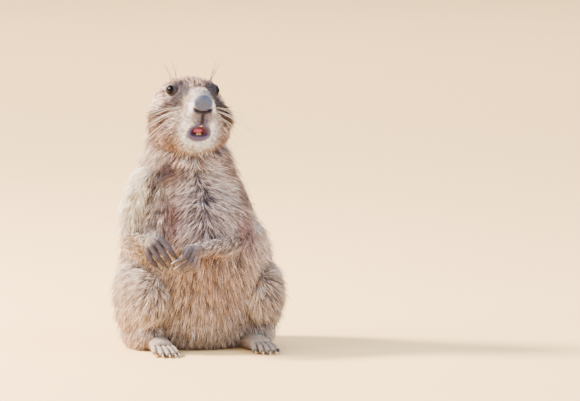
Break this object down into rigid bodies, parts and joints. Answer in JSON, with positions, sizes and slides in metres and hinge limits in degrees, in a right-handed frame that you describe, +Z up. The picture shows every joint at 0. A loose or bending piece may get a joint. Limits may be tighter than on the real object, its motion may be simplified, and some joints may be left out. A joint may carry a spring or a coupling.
{
  "type": "prairie dog",
  "caption": "Upright sitting prairie dog with open mouth, forepaws before the belly, hind feet and tail flat on the floor.",
  "frame": {"origin": "on the floor under the middle of the seat, on the flat underside of the trunk", "axes": "+Z up, the animal faces -Y and its left side is +X"},
  "size_m": [0.1349, 0.2318, 0.214],
  "materials": {
    "coat": "tawny fur with pale tips and dark roots",
    "paw": "short dark grey fur over skin",
    "eye": "wet, near black",
    "tongue": "moist pink flesh",
    "tooth": "yellow enamel",
    "claw": "horn, dark at the root and pale at the tip",
    "whisker": "stiff pale hair"
  },
  "bodies": {
    "root": {"head": "coat", "neck": "coat", "trunk": "coat", "tail": "coat", "ear_left": "coat", "ear_right": "coat", "upper_arm_left": "coat", "upper_arm_right": "coat", "forearm_left": "coat", "forearm_right": "coat", "thigh_left": "coat", "thigh_right": "coat", "forepaw_left": "paw", "forepaw_right": "paw", "hind_foot_left": "paw", "hind_foot_right": "paw", "eye_left": "eye", "eye_right": "eye", "tongue": "tongue", "lower_incisors": "tooth", "upper_incisors": "tooth"}
  },
  "joints": []
}
